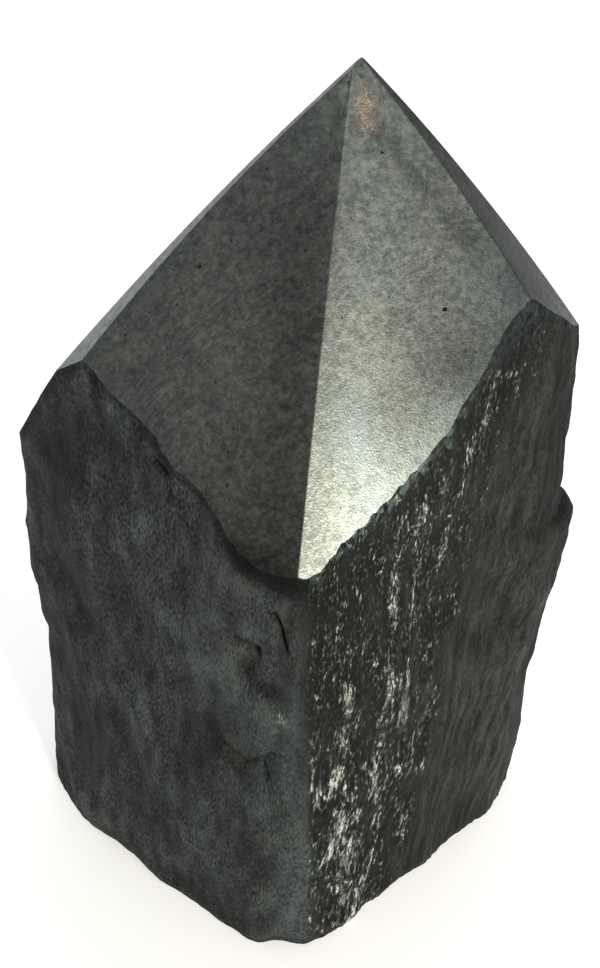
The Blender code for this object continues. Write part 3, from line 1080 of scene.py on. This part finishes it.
def place_pattern(tree, source, size, turn=0.0):
    """Set a pattern's size in mm and turn it in its own plane."""
    node = add_node(tree, "ShaderNodeMapping", vector_type="TEXTURE")
    feed(tree, node.inputs["Vector"], source)
    set_inputs(node, {"Rotation": (0.0, 0.0, math.radians(turn)), "Scale": size})
    return node.outputs[0]


def soft_noise(tree, source, size, turn=0.0, detail=2.0, rough=0.5, bend=0.0):
    """Noise from 0 to 1 whose spots have about this size."""
    node = add_node(tree, "ShaderNodeTexNoise", noise_dimensions="3D")
    feed(tree, node.inputs["Vector"], place_pattern(tree, source, size, turn))
    set_inputs(node, {"Scale": 1.0, "Detail": detail, "Roughness": rough, "Distortion": bend})
    return node.outputs[0]


def cells(tree, source, size):
    """Distance from the middle of the nearest cell, and a random number for each cell."""
    node = add_node(tree, "ShaderNodeTexVoronoi", voronoi_dimensions="2D")
    feed(tree, node.inputs["Vector"], place_pattern(tree, source, size))
    set_inputs(node, {"Scale": 1.0})
    return node.outputs["Distance"], split_colour(tree, node.outputs["Color"])[0]


def split_colour(tree, source):
    """The red, green and blue parts of a colour."""
    node = add_node(tree, "ShaderNodeSeparateColor")
    feed(tree, node.inputs[0], source)
    return list(node.outputs)


def split_place(tree, source):
    """The x, y and z of a place."""
    node = add_node(tree, "ShaderNodeSeparateXYZ")
    feed(tree, node.inputs[0], source)
    return list(node.outputs)


def in_mm(across, up=None):
    """The size of a pattern's spots in mm as metres: how wide, and how tall where that differs."""
    tall = across if up is None else up
    return (across * MM, across * MM, tall * MM)


def on_wrap(across, up):
    """The size of a pattern's spots in mm, as a part of the wrap."""
    return (to_wrap(across), to_wrap(up), to_wrap(1.0))


def fresh_tree(name):
    """The material's node tree with nothing in it but a shader and its output."""
    material = stone_material(name)
    material.use_nodes = True
    tree = material.node_tree
    tree.nodes.clear()
    shader = add_node(tree, "ShaderNodeBsdfPrincipled")
    output = add_node(tree, "ShaderNodeOutputMaterial")
    feed(tree, output.inputs["Surface"], shader.outputs[0])
    return tree, shader


def plain_mark(tree, name):
    """A value written on the stone's own points."""
    return add_node(tree, "ShaderNodeAttribute", attribute_name=name).outputs["Fac"]


def tint_marks(tree):
    """How dark (painted shade among it), blue, brown and flecked (painted glints among it) the stone
    is marked.
    """
    node = add_node(tree, "ShaderNodeAttribute", attribute_name=MARKS)
    return split_colour(tree, node.outputs["Color"]) + [node.outputs["Alpha"]]


def object_place(tree):
    """Where a point lies on the stone."""
    return add_node(tree, "ShaderNodeTexCoord").outputs["Object"]


def wrap_place(tree, name):
    """Where a point lies on one of the stone's wraps."""
    return add_node(tree, "ShaderNodeUVMap", uv_map=name).outputs[0]


def add_bumps(tree, shader, layers):
    """Chain bumps onto the shader: each is a height from 0 to 1 and how far 1 stands out in mm."""
    normal = None
    for height, depth in layers:
        bump = add_node(tree, "ShaderNodeBump")
        set_inputs(bump, {"Strength": 1.0, "Distance": depth * MM})
        feed(tree, bump.inputs["Height"], height)
        if normal is not None:
            feed(tree, bump.inputs["Normal"], normal)
        normal = bump.outputs[0]
    feed(tree, shader.inputs["Normal"], normal)


def arc_wrap(tree, wrap):
    """The wrap with its rows bent along the arcs that grinding left."""
    across, up, _ = split_place(tree, wrap)
    aside = combine(tree, "SUBTRACT", across, to_wrap(ARC_MIDDLE))
    down = times(tree, times(tree, aside, aside), WRAP_UNIT / (2.0 * ARC_RADIUS * MM), up)
    joined = add_node(tree, "ShaderNodeCombineXYZ")
    feed(tree, joined.inputs[0], aside)
    feed(tree, joined.inputs[1], down)
    return joined.outputs[0]


def ground_finish(finish):
    """The satin polish: clouded dark grey with fine arcs of grinding, a bloom, painted shade and a few
    pits.
    """
    tree, shader = fresh_tree(GROUND_NAME)
    spot = object_place(tree)
    wrap = wrap_place(tree, WRAP_NAME)
    dark, blue, brown, _ = tint_marks(tree)

    cloud = soft_noise(tree, spot, in_mm(3.6), detail=3.0)
    mottle = soft_noise(tree, spot, in_mm(0.95), detail=3.0, rough=0.6)
    arcs = arc_wrap(tree, wrap)
    streak = soft_noise(tree, arcs, on_wrap(1.25, 0.36), rough=0.55, bend=0.9)
    patches = soft_noise(tree, spot, in_mm(8.0), detail=1.0)
    mixed = blend(tree, fit_range(tree, patches, 0.38, 0.62, 0.05, 0.62), mottle, streak)
    speck = soft_noise(tree, spot, in_mm(0.20), detail=1.5, rough=0.7)
    pattern = weigh(tree, (cloud, 0.20), (mixed, 0.50), (speck, 0.30))
    pattern = fit_range(tree, pattern, 0.36, 0.64)
    base = blend(tree, pattern, colour(finish.dark), colour(finish.light))

    base = blend(tree, times(tree, blue, POLISH_BLOOM), base, colour(finish.blue))
    # Painted shade: the dark marks darken the polish where its reflection falls off
    base = blend(tree, 1.0, base, times(tree, dark, -POLISH_SHADE, 1.0), "MULTIPLY")
    grains = soft_noise(tree, spot, in_mm(0.16), detail=1.0)
    copper = times(tree, fit_range(tree, grains, 0.50, 0.62), brown)
    base = blend(tree, copper, base, colour(finish.copper))

    distance, random = cells(tree, wrap, on_wrap(2.3, 2.3))
    size = fit_range(tree, random, 0.62, 1.0, 0.0, 0.055)
    pit = combine(tree, "LESS_THAN", distance, size)
    base = blend(tree, times(tree, pit, PIN_PIT_SHARE), base, PIN_PIT_COLOUR)
    feed(tree, shader.inputs["Base Color"], base)

    set_inputs(shader, {"Metallic": finish.metallic})
    worn = soft_noise(tree, spot, in_mm(0.5))
    rough = fit_range(tree, worn, 0.3, 0.7, finish.roughness - 0.05, finish.roughness + 0.07)
    feed(tree, shader.inputs["Roughness"], rough)
    add_bumps(tree, shader, ((mixed, 0.020), (speck, 0.018)))


def pale_grains(tree, lay, flecks_and_glints):
    """How pale the grains are: coarse ones low down, fine ones high up, each with a faint veil."""
    strings = soft_noise(tree, lay, on_wrap(0.70, 3.4))
    low = plain_mark(tree, "how low")
    masks = []
    for (across, up), weight in zip(FLECK_SIZES, (low, rest_of(tree, low))):
        grains = soft_noise(tree, lay, on_wrap(across, up), detail=2.5, rough=0.6, bend=0.4)
        score = times(tree, strings, 0.50, grains)
        over = combine(tree, "SUBTRACT", score, times(tree, flecks_and_glints, -0.30, 0.975))
        veil = fit_range(tree, over, -0.14, 0.05, 0.0, 0.18)
        mask = combine(tree, "MAXIMUM", fit_range(tree, over, 0.0, 0.10), veil)
        masks.append(times(tree, mask, weight))
    return times(tree, combine(tree, "MAXIMUM", masks[0], masks[1]),
                 fit_range(tree, flecks_and_glints, 0.02, 0.25))


def rough_finish(finish):
    """The broken faces: dark fibres with pale grains on the right, fine upright grain elsewhere."""
    tree, shader = fresh_tree(ROUGH_NAME)
    spot = object_place(tree)
    wrap = wrap_place(tree, WRAP_NAME)
    lay = wrap_place(tree, FIBRE_NAME)
    dark, blue, brown, flecks_and_glints = tint_marks(tree)
    stand, rim, right = [plain_mark(tree, name) for name in PLAIN_MARKS[:3]]

    # Fibres of the right-hand side: lively among the pale grains, plain beyond them
    fine = soft_noise(tree, lay, on_wrap(0.17, 0.80), detail=2.5, rough=0.65)
    broad = soft_noise(tree, lay, on_wrap(0.60, 3.6))
    streaks = soft_noise(tree, lay, on_wrap(0.9, 7.5), detail=3.0, rough=0.6)
    lively = fit_range(tree, weigh(tree, (broad, 0.38), (fine, 0.62)), 0.52, 1.05)
    plain = weigh(tree, (broad, 0.20), (streaks, 0.40), (fine, 0.40))
    plain = fit_range(tree, plain, 0.38, 0.66, 0.03, 0.48)
    fibre = blend(tree, fit_range(tree, flecks_and_glints, 0.0, 0.38), plain, lively)

    # Upright grain of the left-hand and back faces
    grain = soft_noise(tree, wrap, on_wrap(0.22, 0.60), detail=3.0, rough=0.7)
    cloud = soft_noise(tree, spot, in_mm(1.8, 4.2), detail=3.5, rough=0.6)
    crumb = fit_range(tree, weigh(tree, (cloud, 0.38), (grain, 0.62)), 0.36, 0.68, 0.12, 0.95)
    crumb = combine(tree, "POWER", crumb, 1.3)

    # Both kinds are lighter where the stone stands out and darker in its hollows: painted shade in the
    # hollows, lighter wear on the high spots
    ground = blend(tree, right, crumb, fibre)
    ground = times(tree, ground, fit_range(tree, stand, -0.6, 0.6, 0.60, 1.35))
    base = blend(tree, ground, colour(finish.dark), colour(finish.light))

    # Blue-grey haze and wear, and brown stains
    haze = soft_noise(tree, spot, in_mm(3.8, 7.5), detail=2.5)
    haze = fit_range(tree, haze, 0.46, 0.66, 0.0, 0.20)
    haze = times(tree, haze, rest_of(tree, right))
    worn = soft_noise(tree, spot, in_mm(0.42, 0.6), detail=3.0, rough=0.65)
    worn = fit_range(tree, worn, 0.40, 0.60)
    share = times(tree, blue, worn, times(tree, haze, grain))
    base = blend(tree, share, base, colour(finish.blue))
    stain = times(tree, brown, fit_range(tree, grain, 0.38, 0.66, 0.1, 0.8))
    base = blend(tree, stain, base, colour(finish.brown))

    # The chipped band under the rim of the ground point
    wobble = weigh(tree, (grain, 1.2), (cloud, 2.4))
    under = combine(tree, "ADD", combine(tree, "ADD", rim, wobble), -1.8)
    band = times(tree, fit_range(tree, under, 2.4, 0.9), 0.92)
    across, _, _ = split_place(tree, wrap)
    start, end = [to_wrap(place) for place in CHIPS_FADE]
    band = times(tree, band, fit_range(tree, across, start, end, 1.0, 0.15))
    _, chip = cells(tree, wrap, on_wrap(0.50, 0.62))
    chip = combine(tree, "POWER", chip, 2.2)
    chips = blend(tree, chip, colour(finish.dark), colour(finish.chip))
    ragged = blend(tree, 1.0, base, RAGGED_TINT, "MULTIPLY")
    base = blend(tree, band, base, blend(tree, right, ragged, chips))

    # Pale grains, with a crust that is thinner in some places than in others; the same pale colour
    # paints the glints marked on the left-hand faces
    pale = pale_grains(tree, lay, flecks_and_glints)
    crust = soft_noise(tree, lay, on_wrap(0.22, 0.42))
    tone = soft_noise(tree, spot, in_mm(1.2, 2.2), detail=1.0)
    crust = times(tree, fit_range(tree, crust, 0.32, 0.60, 0.30, 1.0),
                  fit_range(tree, tone, 0.38, 0.60, 0.28, 1.0))
    pale = times(tree, pale, crust)
    base = blend(tree, pale, base, colour(finish.fleck))
    # Painted shade from the dark marks: shadow under the ridge's foot and the flake, shade below the
    # left facet and the ridge, beside the stone's own dark patches and cracks
    base = blend(tree, 1.0, base, times(tree, dark, -ROUGH_SHADE, 1.0), "MULTIPLY")
    feed(tree, shader.inputs["Base Color"], base)

    set_inputs(shader, {"Metallic": 0.0, "Specular IOR Level": ROUGH_SHINE})
    rough = fit_range(tree, ground, 0.0, 1.0, finish.roughness + 0.12, finish.roughness - 0.08)
    feed(tree, shader.inputs["Roughness"], rough)
    both = blend(tree, right, grain, fibre)
    both = blend(tree, times(tree, band, right), both, chip)
    add_bumps(tree, shader, ((both, 0.20), (pale, 0.05)))


def base_finish():
    """The flat base: the same stone sawn level and rubbed smooth, with faint saw lines."""
    tree, shader = fresh_tree(BASE_NAME)
    spot = object_place(tree)
    size = (SAW_LINE[0] * MM, SAW_LINE[1] * MM, MM)
    lines = soft_noise(tree, spot, size, turn=SAW_TURN, detail=3.0, rough=0.6)
    cloud = soft_noise(tree, spot, in_mm(4.0), detail=3.0)
    pattern = fit_range(tree, weigh(tree, (cloud, 0.6), (lines, 0.4)), 0.35, 0.65)
    feed(tree, shader.inputs["Base Color"], blend(tree, pattern, SAWN_DARK, SAWN_LIGHT))
    set_inputs(shader, {"Metallic": SAWN_METALLIC})
    feed(tree, shader.inputs["Roughness"], fit_range(tree, cloud, 0.3, 0.7, 0.42, 0.58))
    add_bumps(tree, shader, ((lines, 0.04), (cloud, 0.03)))


class HEMATITE_OT_finish(bpy.types.Operator):
    """Give the ground facets, the broken faces and the base their finish"""
    bl_idname = "hematite.finish"
    bl_label = "Finish"

    def execute(self, context):
        stone = bpy.data.objects[STONE_NAME]
        wrap = stone.data.uv_layers[WRAP_NAME]
        lay = stone.data.uv_layers.new(name=FIBRE_NAME)
        for loop, source in zip(lay.data, wrap.data):
            place, height = source.uv
            shift = to_wrap(fibre_place(0.0, from_wrap(height)))
            loop.uv = (place + shift, height)
        ground_finish(context.scene.ground_finish)
        rough_finish(context.scene.rough_finish)
        base_finish()
        select_only(stone)
        bpy.ops.object.shade_smooth_by_angle(angle=context.scene.stone_sizes.smooth_angle)
        sharpen_borders(stone)
        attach(stone, "root")
        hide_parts(STONE_NODE)
        return {"FINISHED"}


def sharpen_borders(stone):
    """Mark the edges between two finishes as sharp, so that neither is shaded into the other."""
    mesh = bmesh.new()
    mesh.from_mesh(stone.data)
    for edge in mesh.edges:
        if len({face.material_index for face in edge.link_faces}) > 1:
            edge.smooth = False
    mesh.to_mesh(stone.data)
    mesh.free()


def direction(bearing, elevation):
    """The direction of a bearing and an elevation in degrees."""
    turn = math.radians(bearing)
    climb = math.radians(elevation)
    flat = math.cos(climb)
    return Vector((math.cos(turn) * flat, math.sin(turn) * flat, math.sin(climb)))


def add_light(name, bearing, elevation, distance, size, power, tint):
    """A soft square light that faces the stone from a bearing and an elevation."""
    middle = Vector((0.0, 0.0, LIT_HEIGHT * MM))
    place = middle + direction(bearing, elevation) * distance
    bpy.ops.object.light_add(type="AREA", location=place)
    light = bpy.context.object
    light.name = name
    light.data.name = name
    light.data.shape = "SQUARE"
    light.data.size = size
    light.data.energy = power
    light.data.color = tint
    light.rotation_mode = "QUATERNION"
    light.rotation_quaternion = (middle - place).to_track_quat("-Z", "Y")


def room_light(look):
    """A plain pale room, mostly dim, with a few broad soft bright parts."""
    world = bpy.data.worlds.get("room") or bpy.data.worlds.new("room")
    bpy.context.scene.world = world
    world.use_nodes = True
    tree = world.node_tree
    tree.nodes.clear()
    coordinates = add_node(tree, "ShaderNodeTexCoord")
    level = look.room_light
    for bearing, elevation, spread, strength in ROOM_PARTS.values():
        towards = add_node(tree, "ShaderNodeVectorMath", operation="DOT_PRODUCT")
        feed(tree, towards.inputs[0], coordinates.outputs["Generated"])
        towards.inputs[1].default_value = direction(bearing, elevation)
        near = math.cos(math.radians(spread))
        part = fit_range(tree, towards.outputs["Value"], near, 1.0, 0.0, strength)
        level = combine(tree, "ADD", part, level)
    background = add_node(tree, "ShaderNodeBackground")
    set_inputs(background, {"Color": WHITE})
    feed(tree, background.inputs["Strength"], level)
    output = add_node(tree, "ShaderNodeOutputWorld")
    feed(tree, output.inputs["Surface"], background.outputs[0])


def lay_floor(look):
    """A plain pale floor."""
    bpy.ops.mesh.primitive_plane_add(size=FLOOR_SIZE * MM, location=(0.0, 0.0, 0.0))
    floor = bpy.context.object
    floor.name = "floor"
    material = bpy.data.materials.new("pale floor")
    material.use_nodes = True
    shader = material.node_tree.nodes["Principled BSDF"]
    set_inputs(shader, {
        "Base Color": colour(look.floor_colour), "Roughness": FLOOR_ROUGHNESS,
        "Specular IOR Level": 0.0, "Emission Color": WHITE, "Emission Strength": look.floor_glow})
    floor.data.materials.append(material)


def set_camera(look):
    """The camera stands in front of the stone, higher than its tip, and looks down at it."""
    pitch = math.radians(CAMERA_PITCH)
    roll = math.radians(CAMERA_ROLL)
    ahead = Vector((0.0, math.cos(pitch), -math.sin(pitch)))
    across = Vector((1.0, 0.0, 0.0))
    above = across.cross(ahead)
    right = across * math.cos(roll) + above * math.sin(roll)
    up = above * math.cos(roll) - across * math.sin(roll)
    data = bpy.data.cameras.new("camera")
    camera = bpy.data.objects.new("camera", data)
    bpy.context.scene.collection.objects.link(camera)
    data.sensor_fit = "VERTICAL"
    data.sensor_height = SENSOR_HEIGHT
    data.sensor_width = SENSOR_HEIGHT
    data.lens = look.focal_length
    data.clip_start, data.clip_end = CAMERA_RANGE
    place = Matrix((right, up, -ahead)).transposed().to_4x4()
    place.translation = (Vector(CAMERA_PLACE) - BASE_CENTRE) * MM
    camera.matrix_world = place
    bpy.context.scene.camera = camera


class HEMATITE_OT_studio(bpy.types.Operator):
    """Lay the floor, hang the lights and set the camera"""
    bl_idname = "hematite.studio"
    bl_label = "Studio"

    def execute(self, context):
        look = context.scene.studio_look
        deselect_all()
        context.scene.view_settings.view_transform = "Standard"
        set_camera(look)
        room_light(look)
        lay_floor(look)
        for name, (bearing, elevation, distance, size, share, tint) in LIGHTS.items():
            power = {"top": look.top_power, "key": look.key_power}[share]
            add_light(name, bearing, elevation, distance * MM, size * MM, power, tint)
        return {"FINISHED"}


class HEMATITE_PT_stone(bpy.types.Panel):
    """The steps that build the stone and its studio"""
    bl_idname = "HEMATITE_PT_stone"
    bl_label = "Hematite point"
    bl_space_type = "VIEW_3D"
    bl_region_type = "UI"
    bl_category = "Hematite"

    def draw(self, context):
        for group in ("stone_sizes", "ground_finish", "rough_finish", "studio_look"):
            settings = getattr(context.scene, group)
            for name in settings.__annotations__:
                self.layout.prop(settings, name)
        for step in STEPS:
            self.layout.operator(step.bl_idname)


STEPS = (HEMATITE_OT_rough_column, HEMATITE_OT_ground_point, HEMATITE_OT_pits, HEMATITE_OT_marks,
         HEMATITE_OT_finish, HEMATITE_OT_studio)
GROUPS = {"stone_sizes": StoneSizes, "ground_finish": GroundFinish, "rough_finish": RoughFinish,
          "studio_look": StudioLook}


def register():
    for name, group in GROUPS.items():
        bpy.utils.register_class(group)
        setattr(bpy.types.Scene, name, bpy.props.PointerProperty(type=group))
    for item in STEPS + (HEMATITE_PT_stone,):
        bpy.utils.register_class(item)


def unregister():
    for item in reversed(STEPS + (HEMATITE_PT_stone,)):
        bpy.utils.unregister_class(item)
    for name, group in GROUPS.items():
        delattr(bpy.types.Scene, name)
        bpy.utils.unregister_class(group)


def main():
    register()
    bpy.ops.hematite.rough_column()
    bpy.ops.hematite.ground_point()
    bpy.ops.hematite.pits()
    bpy.ops.hematite.marks()
    bpy.ops.hematite.finish()
    bpy.ops.hematite.studio()


if __name__ == "__main__":
    main()
